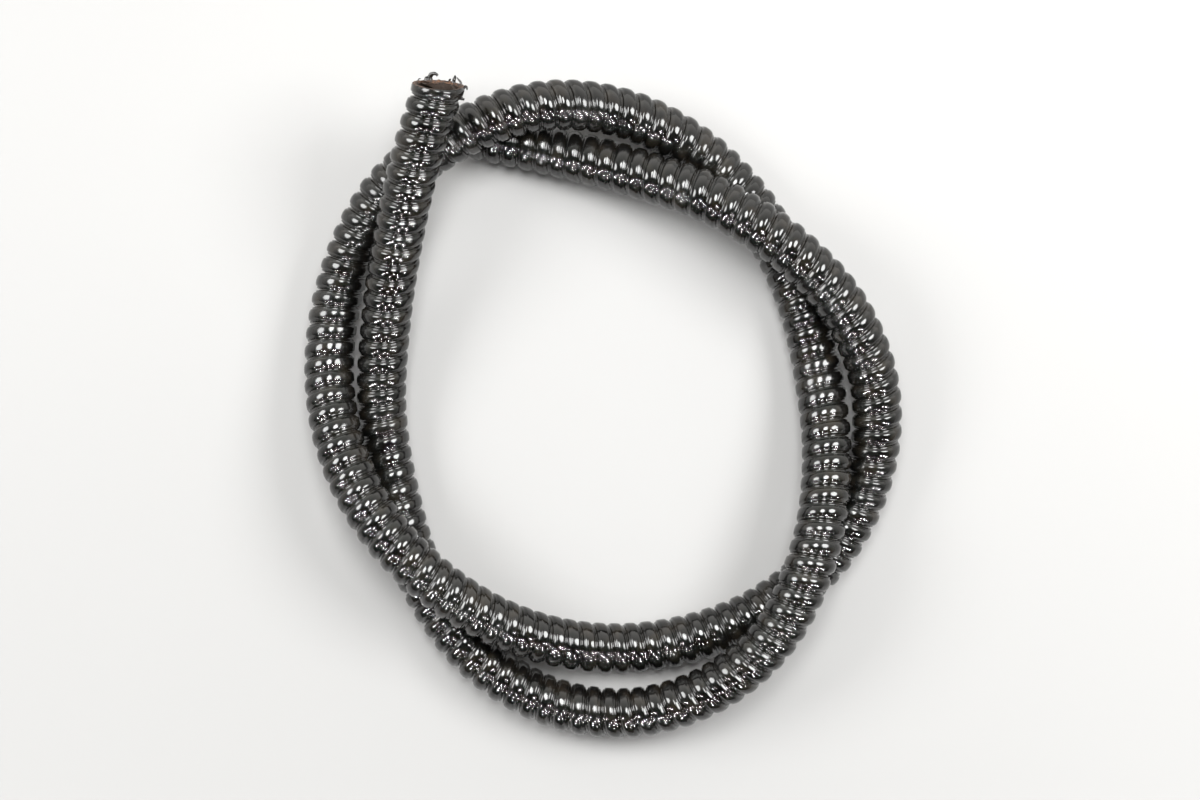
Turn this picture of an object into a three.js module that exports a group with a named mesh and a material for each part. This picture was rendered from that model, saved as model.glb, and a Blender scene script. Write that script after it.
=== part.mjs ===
// Flexible metal hose with a tight ribbed jacket, lying in two loose turns, plain cut at both ends.
// A steel strip wound and interlocked on itself makes the wall, and a glossy black plastic jacket
// covers it. Millimetres, +Z up. Z = 0 is the surface it lies on, and the origin is at the middle.
import * as THREE from 'three';

// Driving dimensions of the hose
const hoseLength = 1200; // along the axis, from cut to cut
const hoseDiameter = 17.5; // over the crests of the jacket
const jacketWall = 1.1;
const stripHeight = 2.45; // crest to root of the wound strip's profile
const jacketClearance = 0.3; // between the jacket's inside and the strip's crests
const turnClearance = 0.6; // between two turns of the hose where one crosses the other

// Fineness of the plain solids
const sectionSides = 12;
const stepsAlong = 80;
const stationsAlong = 240;

// Route of the axis from the raised end to the end that lies under a crossing: x, y and level.
// At level 0 the hose lies on the surface, and at level 1 it rides on one thickness of hose.
const route = [
  [-54, 111.5, 2.34],
  [-63.5, 84, 1.84],
  [-70.5, 57, 1.12],
  [-75.5, 29, 0.48],
  [-77.5, -0.5, 0.06],
  [-73, -30.5, 0],
  [-63.5, -60, 0.01],
  [-45.5, -86, 0.01],
  [-20, -102.5, 0.04],
  [9.5, -106.5, 0.24],
  [38, -97, 0.58],
  [59.5, -77, 0.93],
  [72.5, -49, 0.96],
  [77.5, -19.5, 0.54],
  [75.5, 10.5, 0.1],
  [68.5, 40, 0.01],
  [54.5, 67.5, 0.01],
  [33, 90, 0.04],
  [5.5, 103, 0.42],
  [-23.5, 104, 0.9],
  [-51.5, 93.5, 0.98],
  [-75, 75.5, 0.56],
  [-89.5, 49.5, 0.16],
  [-95.5, 19.5, 0.18],
  [-92, -10, 0.56],
  [-79, -37, 0.94],
  [-58, -59.5, 0.98],
  [-33, -75.5, 0.62],
  [-4.5, -83.5, 0.2],
  [26, -82, 0.02],
  [55, -71.5, 0.01],
  [79, -51.5, 0.01],
  [93, -24.5, 0.05],
  [95, 5.5, 0.32],
  [84, 33.5, 0.74],
  [63.5, 55.5, 1.02],
  [38, 72, 0.84],
  [10, 82.5, 0.4],
  [-19.5, 90.5, 0.04],
  [-49.5, 97, 0.02],
];

// Sizes that follow from the driving dimensions
const hoseRadius = hoseDiameter / 2;
const levelRise = hoseDiameter + turnClearance;
const jacketInnerRadius = hoseRadius - jacketWall;
const stripOuterRadius = jacketInnerRadius - jacketClearance;
const boreRadius = stripOuterRadius - stripHeight;

// The axis follows the route and is cut at the hose's length; past the route it runs straight on.
function hoseAxis(length) {
  const points = route.map(([x, y, level]) => new THREE.Vector3(x, y, hoseRadius + level * levelRise));
  const whole = new THREE.CatmullRomCurve3(points, false, 'centripetal');
  whole.arcLengthDivisions = 2000;
  const routeLength = whole.getLength();
  const endDirection = whole.getTangentAt(1);
  const stations = [];
  for (let i = 0; i <= stationsAlong; i += 1) {
    const distance = (length * i) / stationsAlong;
    const onRoute = Math.min(distance, routeLength);
    const station = whole.getPointAt(onRoute / routeLength);
    stations.push(station.addScaledVector(endDirection, distance - onRoute));
  }
  return new THREE.CatmullRomCurve3(stations, false, 'centripetal');
}

// A round wall swept along the axis, open at both ends.
function sweptWall(axis, outerRadius, innerRadius) {
  const ring = new THREE.Shape().absarc(0, 0, outerRadius, 0, 2 * Math.PI);
  ring.holes.push(new THREE.Path().absarc(0, 0, innerRadius, 0, 2 * Math.PI, true));
  return new THREE.ExtrudeGeometry(ring, {
    steps: stepsAlong,
    curveSegments: sectionSides / 2,
    extrudePath: axis,
  });
}

function namedPiece(name, geometry, material) {
  const piece = new THREE.Mesh(geometry, material);
  piece.name = name;
  return piece;
}

const glossyBlackPlastic = new THREE.MeshStandardMaterial({
  color: 0x151514,
  roughness: 0.22,
  metalness: 0,
});
const galvanisedSteel = new THREE.MeshStandardMaterial({
  color: 0x8e9193,
  roughness: 0.42,
  metalness: 1,
});

const axis = hoseAxis(hoseLength);

const hose = new THREE.Group();
hose.add(
  namedPiece('jacket', sweptWall(axis, hoseRadius, jacketInnerRadius), glossyBlackPlastic),
  namedPiece('wound_strip', sweptWall(axis, stripOuterRadius, boreRadius), galvanisedSteel),
);

export default hose;
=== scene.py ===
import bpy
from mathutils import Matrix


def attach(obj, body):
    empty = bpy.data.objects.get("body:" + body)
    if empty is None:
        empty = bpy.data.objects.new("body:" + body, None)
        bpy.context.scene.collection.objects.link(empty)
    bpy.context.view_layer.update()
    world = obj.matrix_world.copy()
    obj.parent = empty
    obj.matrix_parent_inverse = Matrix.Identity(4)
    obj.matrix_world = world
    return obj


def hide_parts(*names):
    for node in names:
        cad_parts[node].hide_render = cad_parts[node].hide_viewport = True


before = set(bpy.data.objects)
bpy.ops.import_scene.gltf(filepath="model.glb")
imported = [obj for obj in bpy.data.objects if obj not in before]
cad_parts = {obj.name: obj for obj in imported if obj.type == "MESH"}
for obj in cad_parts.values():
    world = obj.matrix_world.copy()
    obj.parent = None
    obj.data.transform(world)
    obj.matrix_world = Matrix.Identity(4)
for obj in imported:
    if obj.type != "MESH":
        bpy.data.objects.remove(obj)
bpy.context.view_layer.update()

import math
import random

import bmesh
import bpy
from mathutils import Matrix, Vector, noise


# ---- Camera ----
# A long lens looks straight down on the hose from just under a metre, a hair off square, with the
# raised end of the hose at the top left.

camera_place = Vector((-0.0095, 0.0257, 0.8851))
camera_aim = Vector((-0.00105, 0.0027, 0.0))
camera_right = Vector((1.0, -0.0028, 0.0))

camera = bpy.data.objects.new("camera", bpy.data.cameras.new("camera"))
camera.data.lens = 75
camera.data.sensor_width = 36
back = (camera_place - camera_aim).normalized()
up = back.cross(camera_right).normalized()
right = up.cross(back)
camera.matrix_world = Matrix.Translation(camera_place) @ Matrix((right, up, back)).transposed().to_4x4()
bpy.context.scene.collection.objects.link(camera)
bpy.context.scene.camera = camera


# ---- Jacket ----
# One tube of glossy black plastic, tight over the wound strip, so that each turn of the strip stands up
# as a rib. It is the whole outside of the hose, cut square at the lower end and out of square at the
# raised one. Where the hose bends, the ribs are domes outside the bend and crowd together inside it.

hose_length = 1.2
hose_diameter = 0.0175
hose_radius = hose_diameter / 2
level_rise = hose_diameter + 0.0006
rib_pitch = 0.0059
rib_height_inside_bend = 0.0018
rib_height_outside_bend = 0.0024

# The route of the axis, from the raised end to the end that lies under a crossing: x, y and level.
# At level 0 the hose lies on the floor, and at level 1 it rides on one thickness of hose.
route = [
    (-0.0540, 0.1115, 2.34),
    (-0.0635, 0.0840, 1.84),
    (-0.0705, 0.0570, 1.12),
    (-0.0755, 0.0290, 0.48),
    (-0.0775, -0.0005, 0.06),
    (-0.0730, -0.0305, 0.00),
    (-0.0635, -0.0600, 0.01),
    (-0.0455, -0.0860, 0.01),
    (-0.0200, -0.1025, 0.04),
    (0.0095, -0.1065, 0.24),
    (0.0380, -0.0970, 0.58),
    (0.0595, -0.0770, 0.93),
    (0.0725, -0.0490, 0.96),
    (0.0775, -0.0195, 0.54),
    (0.0755, 0.0105, 0.10),
    (0.0685, 0.0400, 0.01),
    (0.0545, 0.0675, 0.01),
    (0.0330, 0.0900, 0.04),
    (0.0055, 0.1030, 0.42),
    (-0.0235, 0.1040, 0.90),
    (-0.0515, 0.0935, 0.98),
    (-0.0750, 0.0755, 0.56),
    (-0.0895, 0.0495, 0.16),
    (-0.0955, 0.0195, 0.18),
    (-0.0920, -0.0100, 0.56),
    (-0.0790, -0.0370, 0.94),
    (-0.0580, -0.0595, 0.98),
    (-0.0330, -0.0755, 0.62),
    (-0.0045, -0.0835, 0.20),
    (0.0260, -0.0820, 0.02),
    (0.0550, -0.0715, 0.01),
    (0.0790, -0.0515, 0.01),
    (0.0930, -0.0245, 0.05),
    (0.0950, 0.0055, 0.32),
    (0.0840, 0.0335, 0.74),
    (0.0635, 0.0555, 1.02),
    (0.0380, 0.0720, 0.84),
    (0.0100, 0.0825, 0.40),
    (-0.0195, 0.0905, 0.04),
    (-0.0495, 0.0970, 0.02),
]


def smooth_line(points, steps):
    """A centripetal Catmull-Rom line through the points, with so many steps between each two."""
    line = []
    for i in range(len(points) - 1):
        here, there = points[i], points[i + 1]
        before = points[i - 1] if i else here * 2 - there
        after = points[i + 2] if i + 2 < len(points) else there * 2 - here
        a, b, c = ((q - p).length ** 0.5 for p, q in ((before, here), (here, there), (there, after)))
        leave = ((here - before) / a - (there - before) / (a + b) + (there - here) / b) * b
        arrive = ((there - here) / b - (after - here) / (b + c) + (after - there) / c) * b
        for k in range(steps):
            t = k / steps
            line.append(
                here * (2 * t**3 - 3 * t**2 + 1)
                + leave * (t**3 - 2 * t**2 + t)
                + there * (3 * t**2 - 2 * t**3)
                + arrive * (t**3 - t**2)
            )
    return line + [points[-1]]


def cut_to_length(line, length):
    """The line from its start to that length, or run straight on past its end to reach it."""
    done = 0.0
    for i in range(1, len(line)):
        step = (line[i] - line[i - 1]).length
        if done + step >= length:
            return line[:i] + [line[i - 1].lerp(line[i], (length - done) / step)]
        done += step
    onward = (line[-1] - line[-2]).normalized()
    return line + [line[-1] + onward * (length - done)]


def line_object(name, points):
    """A poly curve through the points, which the winding samples and the finished scene doesn't keep."""
    curve = bpy.data.curves.new(name, "CURVE")
    curve.dimensions = "3D"
    curve.twist_mode = "Z_UP"
    spline = curve.splines.new("POLY")
    spline.points.add(len(points) - 1)
    for point, place in zip(spline.points, points):
        point.co = (*place, 1.0)
    made = bpy.data.objects.new(name, curve)
    bpy.context.scene.collection.objects.link(made)
    return made


axis = cut_to_length(
    smooth_line([Vector((x, y, hose_radius + level * level_rise)) for x, y, level in route], 24),
    hose_length,
)
first_cut, last_cut = axis[0], axis[-1]
first_outward = (axis[0] - axis[1]).normalized()
last_outward = (axis[-1] - axis[-2]).normalized()
spare = 2 * rib_pitch
axis_object = line_object(
    "hose_axis", [first_cut + first_outward * spare] + axis + [last_cut + last_outward * spare]
)


class Nodes:
    """A node tree, with a short way to add a node. An input is given by its name, with underscores for
    spaces, or by its place as i0, i1 and so on, and takes either a value or another node's output."""

    def __init__(self, tree):
        self.tree = tree

    def node(self, kind, settings=None, **links):
        made = self.tree.nodes.new(kind)
        for key, value in (settings or {}).items():
            setattr(made, key, value)
        for key, value in links.items():
            socket = made.inputs[int(key[1:])] if key[1:].isdigit() else made.inputs[key.replace("_", " ")]
            if isinstance(value, bpy.types.NodeSocket):
                self.tree.links.new(value, socket)
            else:
                socket.default_value = value
        return made


class Tree(Nodes):
    """A Geometry Nodes tree, with short ways to add its inputs and sums."""

    def __init__(self, name):
        super().__init__(bpy.data.node_groups.new(name, "GeometryNodeTree"))
        self.tree.interface.new_socket("Geometry", in_out="OUTPUT", socket_type="NodeSocketGeometry")
        self.inputs = self.tree.nodes.new("NodeGroupInput")

    def input(self, name, kind):
        self.tree.interface.new_socket(name, in_out="INPUT", socket_type="NodeSocket" + kind)
        return self.inputs.outputs[name]

    def math(self, operation, *values):
        links = {f"i{i}": value for i, value in enumerate(values)}
        return self.node("ShaderNodeMath", {"operation": operation}, **links).outputs[0]

    def vector(self, operation, a, b=None, scale=None):
        made = self.node("ShaderNodeVectorMath", {"operation": operation}, i0=a)
        for index, value in ((1, b), (3, scale)):
            if value is not None:
                self.tree.links.new(value, made.inputs[index])
        return made.outputs["Value" if operation == "DOT_PRODUCT" else "Vector"]

    def sample(self, curve, length):
        return self.node("GeometryNodeSampleCurve", {"mode": "LENGTH"}, Curves=curve, Length=length).outputs

    def point_of(self, curve, index):
        """The place of a curve's own point."""
        place = self.node("GeometryNodeInputPosition").outputs[0]
        settings = {"data_type": "FLOAT_VECTOR", "domain": "POINT"}
        return self.node(
            "GeometryNodeSampleIndex", settings, Geometry=curve, Value=place, Index=index
        ).outputs[0]

    def object_curve(self, name):
        return self.node("GeometryNodeObjectInfo", Object=self.input(name, "Object")).outputs["Geometry"]

    def finish(self, geometry):
        self.tree.links.new(geometry, self.node("NodeGroupOutput").inputs["Geometry"])
        return self.tree


def winding_tree():
    """A profile wound in a helix along an axis. The profile holds distances along the axis and from it,
    and is blended between its shape inside a bend and its shape outside one. Each turn of the winding
    meets the next, and a slow wander keeps the turns from being all alike."""
    t = Tree("winding")
    axis_line = t.object_curve("Axis")
    inside = t.object_curve("Profile inside a bend")
    outside = t.object_curve("Profile outside a bend")
    pitch = t.input("Pitch", "Float")
    turns = t.input("Turns", "Int")
    around = t.input("Around", "Int")
    across = t.input("Across", "Int")
    start = t.input("Start", "Float")
    bend_reach = t.input("Bend reach", "Float")
    full_bend = t.input("Full bend", "Float")
    wander = t.input("Wander", "Float")
    seed = t.input("Seed", "Float")
    finish = t.input("Material", "Material")

    steps = t.math("MULTIPLY", turns, around)
    grid = t.node(
        "GeometryNodeMeshGrid",
        Size_X=1.0,
        Size_Y=1.0,
        Vertices_X=t.math("ADD", across, 1.0),
        Vertices_Y=t.math("ADD", steps, 1.0),
    )
    place = t.node("ShaderNodeSeparateXYZ", Vector=t.node("GeometryNodeInputPosition").outputs[0])
    share = t.math("ADD", place.outputs["X"], 0.5)
    turn = t.math("MULTIPLY", t.math("ADD", place.outputs["Y"], 0.5), turns)
    angle = t.math("MULTIPLY", turn, math.tau)
    index = t.math("ROUND", t.math("MULTIPLY", share, across))
    inside_point = t.point_of(inside, index)
    turn_start = t.math("MULTIPLY_ADD", turn, pitch, start)
    middle = t.math("ADD", turn_start, t.node("ShaderNodeSeparateXYZ", Vector=inside_point).outputs["X"])

    slow_noise = t.node(
        "ShaderNodeTexNoise",
        {"noise_dimensions": "2D"},
        Vector=t.node("ShaderNodeCombineXYZ", X=t.math("DIVIDE", middle, pitch), Y=seed).outputs[0],
        Scale=0.37,
        Detail=1.0,
    )
    drift = t.math("MULTIPLY", t.math("SUBTRACT", slow_noise.outputs[0], 0.5), wander)

    tangent_after = t.sample(axis_line, t.math("ADD", middle, bend_reach))["Tangent"]
    tangent_before = t.sample(axis_line, t.math("SUBTRACT", middle, bend_reach))["Tangent"]
    turned = t.vector("SUBTRACT", tangent_after, tangent_before)
    at_middle = t.sample(axis_line, middle)

    def spoke(sampled):
        """The unit vector from the axis at this angle round it, square to the axis."""
        side = sampled["Normal"]
        top = t.vector("CROSS_PRODUCT", sampled["Tangent"], side)
        return t.vector(
            "ADD",
            t.vector("SCALE", side, scale=t.math("COSINE", angle)),
            t.vector("SCALE", top, scale=t.math("SINE", angle)),
        )

    into_bend = t.math("DIVIDE", t.vector("DOT_PRODUCT", turned, spoke(at_middle)), full_bend)
    blend = t.node("ShaderNodeClamp", Value=t.math("MULTIPLY_ADD", into_bend, 0.5, 0.5)).outputs[0]
    profile = t.node(
        "ShaderNodeMix", {"data_type": "VECTOR"}, i0=blend, i4=t.point_of(outside, index), i5=inside_point
    ).outputs[1]
    profile = t.node("ShaderNodeSeparateXYZ", Vector=profile)
    along = t.math("ADD", t.math("ADD", turn_start, profile.outputs["X"]), drift)
    at_point = t.sample(axis_line, along)
    reach = t.math("MULTIPLY_ADD", drift, 0.12, profile.outputs["Y"])
    point = t.vector("ADD", at_point["Position"], t.vector("SCALE", spoke(at_point), scale=reach))
    wound = grid.outputs["Mesh"]
    for name, value in (("along", along), ("height", profile.outputs["Y"])):
        wound = t.node("GeometryNodeStoreNamedAttribute", Geometry=wound, Name=name, Value=value).outputs[0]
    wound = t.node("GeometryNodeSetPosition", Geometry=wound, Position=point).outputs[0]
    wound = t.node("GeometryNodeMergeByDistance", Geometry=wound, Distance=2e-6).outputs[0]
    wound = t.node("GeometryNodeRealizeInstances", Geometry=wound).outputs[0]
    return t.finish(t.node("GeometryNodeSetMaterial", Geometry=wound, Material=finish).outputs[0])


winding = winding_tree()


def wind(name, material, inside, outside, around):
    """The mesh of a profile wound along the hose, from before its first cut to past its last one."""
    inside_object = line_object(name + "_inside", inside)
    outside_object = line_object(name + "_outside", outside)
    made = bpy.data.objects.new(name, bpy.data.meshes.new(name))
    bpy.context.scene.collection.objects.link(made)
    modifier = made.modifiers.new("winding", "NODES")
    modifier.node_group = winding
    values = {
        "Axis": axis_object,
        "Profile inside a bend": inside_object,
        "Profile outside a bend": outside_object,
        "Pitch": rib_pitch,
        "Turns": math.ceil((hose_length + spare) / rib_pitch),
        "Around": around,
        "Across": len(inside) - 1,
        "Start": spare / 4,
        "Bend reach": 0.008,
        "Full bend": 0.17,
        "Wander": 0.0007,
        "Seed": 3.0,
        "Material": material,
    }
    for socket in winding.interface.items_tree:
        if socket.in_out == "INPUT":
            modifier[socket.identifier] = values[socket.name]
    made.update_tag()
    depsgraph = bpy.context.evaluated_depsgraph_get()
    mesh = bpy.data.meshes.new_from_object(made.evaluated_get(depsgraph))
    for spent in (made, inside_object, outside_object):
        bpy.data.objects.remove(spent)
    return mesh


# Half a rib, from its crest to the groove: how far across it, then how deep there inside a bend and
# outside one, as shares of half a pitch and of the rib's height. A fine bead runs beside each groove.
half_rib = [
    (0.00, 0.00, 0.00),
    (0.34, 0.01, 0.05),
    (0.54, 0.06, 0.16),
    (0.65, 0.33, 0.39),
    (0.72, 0.38, 0.40),
    (0.79, 0.36, 0.37),
    (0.87, 0.54, 0.54),
    (1.00, 1.00, 1.00),
]


def rib_profiles(heights, crest_radius, half):
    """One rib from groove to groove, inside a bend and outside one, as distances along the axis and
    from it."""
    whole = [(-t, *depths) for t, *depths in half[::-1] if t > 0] + half
    return [
        [(rib_pitch * (row[0] + 1) / 2, crest_radius - height * row[1 + side], 0) for row in whole]
        for side, height in enumerate(heights)
    ]


# The raised end was sawn by hand, so its face is some way out of square, and its middle stops a little
# short of the hose's full length.
sawn_setback = 0.0027
sawn_facing = Vector((0.100, 0.952, 0.288)).normalized()
sawn_place = first_cut - first_outward * sawn_setback
rim_noise_scale = 1400
jacket_raggedness = 0.0003
strip_recess = 0.0006


def saw_ends(bm, raggedness=0.0, recess=0.0):
    """Saws a winding off at both ends, without touching the turns that lie beside an end, and gives the
    edges that each cut leaves open."""
    along = bm.verts.layers.float["along"]

    def near(v, start, turns):
        return abs(v[along] - spare - start) < turns * rib_pitch

    rims = []
    for start, place, facing in ((0.0, sawn_place, sawn_facing), (hose_length, last_cut, last_outward)):
        verts = [v for v in bm.verts if near(v, start, 4)]
        faces = {f for v in verts for f in v.link_faces}
        edges = {e for f in faces for e in f.edges}
        bmesh.ops.bisect_plane(
            bm,
            geom=verts + list(edges) + list(faces),
            plane_co=place - facing * recess,
            plane_no=facing,
            clear_outer=True,
        )
        rim = [e for e in bm.edges if e.is_boundary and near(e.verts[0], start, 3)]
        for v in {v for e in rim for v in e.verts}:
            v.co += facing * raggedness * noise.noise(v.co * rim_noise_scale)
        rims.append(rim)
    return rims


class Shader(Nodes):
    """A material's nodes, with short ways to add them round its one Principled shader."""

    def __init__(self, name, **sockets):
        self.material = bpy.data.materials.new(name)
        self.material.use_nodes = True
        super().__init__(self.material.node_tree)
        self.surface = self.tree.nodes["Principled BSDF"]
        for key, value in sockets.items():
            self.surface.inputs[key.replace("_", " ")].default_value = value

    def noise(self, scale, detail=2.0):
        place = self.node("ShaderNodeTexCoord").outputs["Object"]
        return self.node("ShaderNodeTexNoise", Vector=place, Scale=scale, Detail=detail).outputs[0]

    def ramp(self, value, low, high, at_low, at_high):
        limits = {"From_Min": low, "From_Max": high, "To_Min": at_low, "To_Max": at_high}
        return self.node("ShaderNodeMapRange", Value=value, **limits).outputs[0]

    def larger(self, a, b):
        return self.node("ShaderNodeMath", {"operation": "MAXIMUM"}, i0=a, i1=b).outputs[0]

    def blend(self, share, a, b):
        return self.node("ShaderNodeMix", {"data_type": "RGBA"}, i0=share, i6=a, i7=b).outputs[2]

    def bump(self, height, strength, distance, under=None):
        made = self.node("ShaderNodeBump", Height=height, Strength=strength, Distance=distance)
        if under:
            self.tree.links.new(under, made.inputs["Normal"])
        return made.outputs[0]

    def set(self, **links):
        for key, value in links.items():
            self.tree.links.new(value, self.surface.inputs[key.replace("_", " ")])


def glossy_black_plastic():
    """Glossy and near black, with faint smudges and a brown dust that gathers low down in the grooves."""
    s = Shader("glossy_black_plastic", IOR=1.5)
    height = s.node("ShaderNodeAttribute", {"attribute_name": "height"}).outputs["Fac"]
    shoulder = hose_radius - rib_height_inside_bend * 0.35
    groove = hose_radius - rib_height_outside_bend
    low = s.ramp(height, shoulder, groove, 0.0, 0.5)
    dust = s.ramp(s.noise(150.0, 5.0), 0.48, 0.72, 0.0, 1.0)
    smudges = s.noise(70.0, 3.0)
    s.set(
        Base_Color=s.blend(s.larger(dust, low), (0.0030, 0.0029, 0.0026, 1), (0.0130, 0.0105, 0.0075, 1)),
        Roughness=s.ramp(smudges, 0.35, 0.7, 0.09, 0.18),
        Normal=s.bump(s.noise(1000.0, 2.0), 0.22, 0.0001, s.bump(s.noise(330.0, 1.0), 0.04, 0.0004)),
    )
    return s.material


def sawn_plastic():
    """Matt, with rusty grime from the strip: the sawn edges and the lining."""
    s = Shader("sawn_plastic", Roughness=0.9)
    grime = s.ramp(s.noise(1500.0, 3.0), 0.42, 0.6, 0.0, 1.0)
    s.set(
        Base_Color=s.blend(grime, (0.012, 0.011, 0.010, 1), (0.085, 0.040, 0.020, 1)),
        Normal=s.bump(s.noise(3500.0, 2.0), 0.6, 0.00015),
    )
    return s.material


jacket_black = glossy_black_plastic()
sawn_edge = sawn_plastic()
outer_skin = wind(
    "jacket",
    jacket_black,
    *rib_profiles((rib_height_inside_bend, rib_height_outside_bend), hose_radius, half_rib),
    around=29,
)
half_lining = [(0.72, 0.0, 0.0), (1.0, 1.0, 1.0)]
lining_height = 0.0014
lining_radius = 0.00745
inner_skin = wind(
    "jacket_lining",
    jacket_black,
    *rib_profiles((lining_height, lining_height), lining_radius, half_lining),
    around=22,
)
bm = bmesh.new()
bm.from_mesh(outer_skin)
bmesh.ops.recalc_face_normals(bm, faces=bm.faces)
outer_count = len(bm.faces)
bm.from_mesh(inner_skin)
glossy, matt = 0, 1
for i, face in enumerate(bm.faces):
    face.smooth = True
    face.material_index = glossy if i < outer_count else matt
for rim in saw_ends(bm, raggedness=jacket_raggedness):
    for face in bmesh.ops.bridge_loops(bm, edges=rim)["faces"]:
        face.material_index = matt
        face.smooth = False
bmesh.ops.recalc_face_normals(bm, faces=bm.faces)
jacket_mesh = bpy.data.meshes.new("jacket_skin")
bm.to_mesh(jacket_mesh)
bm.free()
jacket_mesh.materials.append(jacket_black)
jacket_mesh.materials.append(sawn_edge)
jacket = bpy.data.objects.new("ribbed_jacket", jacket_mesh)
bpy.context.scene.collection.objects.link(jacket)
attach(jacket, "root")
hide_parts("jacket")


# ---- Wound strip ----
# The wall under the jacket: one galvanised steel strip, folded into a square S and wound on itself, so
# that each turn hooks under the last. It shows only inside the two cut ends.

strip_thickness = 0.0004
strip_midline = [
    (-0.00265, 0.0062),
    (-0.00265, 0.0051),
    (0.00115, 0.0051),
    (0.00115, 0.0070),
    (0.00475, 0.0070),
    (0.00475, 0.0059),
]


def thickened(midline, thickness):
    """The closed outline of a folded sheet, square at its folds and its two edges."""
    half = thickness / 2
    sides = ([], [])
    for i, point in enumerate(midline):
        here = Vector(point)
        before = (here - Vector(midline[i - 1])).normalized() if i else None
        after = (Vector(midline[i + 1]) - here).normalized() if i + 1 < len(midline) else None
        before, after = before or after, after or before
        shift = (before.orthogonal() + after.orthogonal()) * half
        if (before - after).length < 1e-6:
            shift = before.orthogonal() * half
        for side, sign in zip(sides, (1, -1)):
            side.append((*(here + shift * sign), 0))
    return sides[0] + sides[1][::-1] + sides[0][:1]


def galvanised_steel():
    """Dull zinc, stained with rust in patches, and darkened all over near the raised cut as painted shade
    in the hose's dark mouth.
    """
    s = Shader("galvanised_steel", Metallic=0.4)
    spangle = s.noise(700.0, 2.0)
    stain = s.ramp(s.noise(260.0, 3.0), 0.45, 0.7, 0.0, 1.0)
    zinc = s.blend(s.ramp(spangle, 0.4, 0.62, 0.0, 1.0), (0.16, 0.16, 0.155, 1), (0.30, 0.30, 0.29, 1))
    along = s.node("ShaderNodeAttribute", {"attribute_name": "along"}).outputs["Fac"]
    # Painted shade: towards the raised cut the strip takes the dark rust colour all over, standing in for
    # the shade inside the mouth.
    mouth_shade = s.ramp(along, spare + 0.006, spare + 0.016, 1.0, 0.0)
    s.set(
        Base_Color=s.blend(s.larger(stain, mouth_shade), zinc, (0.022, 0.013, 0.008, 1)),
        Roughness=s.ramp(spangle, 0.3, 0.7, 0.6, 0.85),
        Normal=s.bump(s.noise(3000.0, 2.0), 0.2, 0.00005),
    )
    return s.material


strip_steel = galvanised_steel()
strip_outline = thickened(strip_midline, strip_thickness)
bm = bmesh.new()
bm.from_mesh(wind("strip", strip_steel, strip_outline, strip_outline, around=30))
for rim in saw_ends(bm, recess=strip_recess):
    bmesh.ops.triangle_fill(bm, edges=rim, use_beauty=True)
for face in bm.faces:
    face.material_index = 0
bmesh.ops.recalc_face_normals(bm, faces=bm.faces)
strip_mesh = bpy.data.meshes.new("strip_winding")
bm.to_mesh(strip_mesh)
bm.free()
strip_mesh.materials.append(strip_steel)
strip = bpy.data.objects.new("wound_strip_folds", strip_mesh)
bpy.context.scene.collection.objects.link(strip)
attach(strip, "root")
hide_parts("wound_strip")
bpy.data.objects.remove(axis_object)


# ---- Torn shreds ----
# The saw tore the raised end's jacket as it broke through, and left one curled burr, a few thin strands
# and some crumbs of plastic hanging on the far side of the cut.

# Each is a line of points, as distances across the cut, out from it and towards its upper side, and
# the radius of the shred at its root.
shred_lines = [
    ([(-3.6, -1.0, -7.6), (-3.8, 0.6, -7.8), (-3.2, 1.8, -7.7), (-2.0, 2.2, -7.2), (-1.1, 1.7, -7.3)], 1.1),
    ([(-5.0, -0.8, -7.0), (-5.1, 0.5, -7.2), (-4.4, 0.9, -7.2)], 0.6),
    ([(4.4, -1.0, -7.0), (4.4, 0.8, -7.2), (4.7, 1.7, -7.1), (4.6, 2.3, -6.9)], 0.8),
    ([(6.9, -1.0, -5.0), (6.8, 0.6, -5.3), (6.0, 1.4, -5.4), (5.4, 2.0, -5.6)], 0.5),
    ([(3.0, -0.8, -7.6), (2.9, 0.5, -7.8), (3.3, 0.8, -7.7)], 0.5),
    ([(7.9, -0.9, -2.4), (8.7, -0.1, -2.4), (9.2, -0.3, -2.2), (9.3, -1.1, -2.0)], 0.6),
    ([(7.0, -3.4, 0.6), (7.9, -3.6, 0.8), (8.9, -3.9, 0.8)], 0.9),
    ([(-7.0, -0.8, -4.6), (-7.3, 0.2, -4.7), (-6.6, 0.5, -4.9)], 0.34),
]
millimetre = 0.001
shred_sides = 7
upper_side = (Vector((0, 0, 1)) - sawn_facing * sawn_facing.z).normalized()
across_cut = sawn_facing.cross(upper_side)


def shred(bm, points, root_radius, rng):
    """A thin tapered strand, flattened and uneven, closed at both of its ends."""
    line = smooth_line([Vector(p) for p in points], 5)
    rings = []
    for i, here in enumerate(line):
        after, before = line[min(i + 1, len(line) - 1)], line[max(i - 1, 0)]
        side = (after - before).normalized().cross(Vector((0.3, 0.2, 1))).normalized()
        other = (after - before).normalized().cross(side)
        radius = root_radius * (1 - 0.6 * i / (len(line) - 1)) * rng.uniform(0.9, 1.08)
        ring = []
        for k in range(shred_sides):
            turn = math.tau * k / shred_sides
            local = here + side * radius * math.cos(turn) + other * radius * 0.55 * math.sin(turn)
            place = across_cut * local.x + sawn_facing * local.y + upper_side * local.z
            ring.append(bm.verts.new(sawn_place + place * millimetre))
        rings.append(ring)
    for low, high in zip(rings, rings[1:]):
        for k in range(shred_sides):
            n = (k + 1) % shred_sides
            bm.faces.new((low[k], low[n], high[n], high[k]))
    bm.faces.new(rings[0][::-1])
    bm.faces.new(rings[-1])


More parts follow.
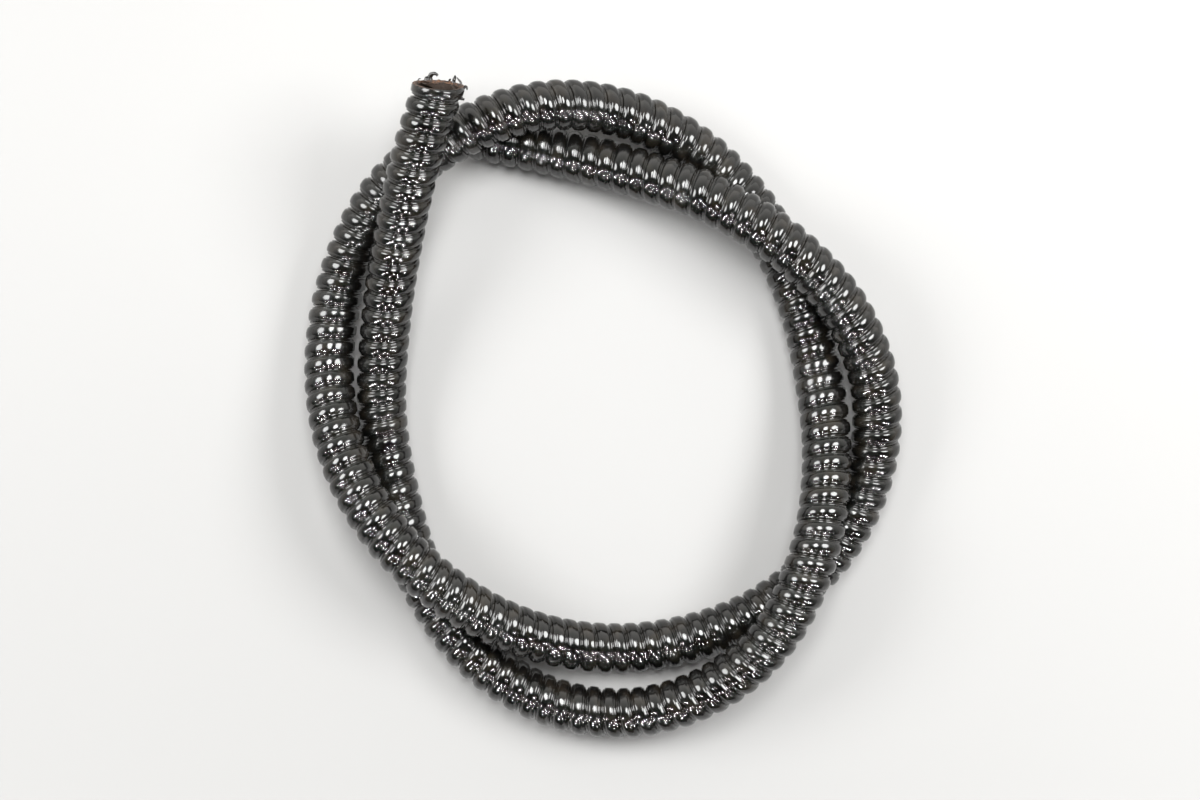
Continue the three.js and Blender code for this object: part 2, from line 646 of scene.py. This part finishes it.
rng = random.Random(5)
bm = bmesh.new()
for points, root_radius in shred_lines:
    shred(bm, points, root_radius, rng)
bmesh.ops.recalc_face_normals(bm, faces=bm.faces)
shreds_mesh = bpy.data.meshes.new("torn_shreds")
bm.to_mesh(shreds_mesh)
bm.free()
shreds_mesh.materials.append(jacket_black)
shreds_mesh.shade_smooth()
shreds = bpy.data.objects.new("torn_shreds", shreds_mesh)
bpy.context.scene.collection.objects.link(shreds)
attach(shreds, "root")


# ---- Floor and lights ----
# A plain pale floor under the hose, a soft light from each side and one from overhead, and rows of small
# lamps that show only as glints in the gloss. The studio is brighter on the raised end's side.


def pale_floor():
    s = Shader("pale_floor", Roughness=0.5)
    s.set(Base_Color=s.blend(s.noise(3.0), (0.262, 0.260, 0.256, 1), (0.278, 0.276, 0.272, 1)))
    return s.material


floor_half = 1.6
floor_mesh = bpy.data.meshes.new("floor")
floor_mesh.from_pydata(
    [(x * floor_half, y * floor_half, 0) for x, y in ((-1, -1), (1, -1), (1, 1), (-1, 1))],
    [],
    [(0, 1, 2, 3)],
)
floor_mesh.materials.append(pale_floor())
floor = bpy.data.objects.new("floor", floor_mesh)
bpy.context.scene.collection.objects.link(floor)


light_aim = Vector((0, 0, 0.02))


def soft_light(name, place, size, power, glints_only=False):
    lamp = bpy.data.lights.new(name, "AREA")
    lamp.shape = "ELLIPSE"
    lamp.size, lamp.size_y = size
    lamp.energy = power
    made = bpy.data.objects.new(name, lamp)
    made.location = place
    made.rotation_euler = (light_aim - Vector(place)).to_track_quat("-Z", "Y").to_euler()
    made.visible_diffuse = not glints_only
    bpy.context.scene.collection.objects.link(made)


soft_light("soft_light_left", (-0.76, 0.2, 0.68), (0.5, 0.5), 10.0)
soft_light("soft_light_right", (0.66, 0.2, 0.74), (0.5, 0.5), 13.0)
soft_light("soft_light_over", (0.0, 0.3, 1.0), (0.36, 0.5), 12.0)
lamp_distance = 1.0
# Each row's tilt from straight overhead, in degrees, and how many lamps it has.
lamp_rows = [(40, 3), (53, 4), (65, 4)]
for tilt, count in lamp_rows:
    for k in range(count):
        swing = math.radians(-72 + 144 * (k + 0.5) / count)
        reach = lamp_distance * math.sin(math.radians(tilt))
        rise = lamp_distance * math.cos(math.radians(tilt))
        place = (reach * math.sin(swing), -reach * math.cos(swing), rise)
        soft_light(f"small_lamp_{tilt}_{k}", place, (0.03, 0.03), 3.0, glints_only=True)

world = bpy.data.worlds.new("studio")
world.use_nodes = True
sky = Nodes(world.node_tree)
direction = sky.node("ShaderNodeTexCoord").outputs["Generated"]
towards = sky.node("ShaderNodeVectorMath", {"operation": "DOT_PRODUCT"}, i0=direction, i1=(0.0, 0.8, -0.6))
fade = sky.node(
    "ShaderNodeMapRange",
    Value=towards.outputs["Value"],
    From_Min=-0.55,
    From_Max=0.65,
    To_Min=0.1,
    To_Max=2.2,
)
background = sky.tree.nodes["Background"]
sky.tree.links.new(fade.outputs[0], background.inputs["Strength"])
background.inputs["Color"].default_value = (1.0, 0.99, 0.95, 1)
bpy.context.scene.world = world
bpy.context.scene.view_settings.view_transform = "Standard"
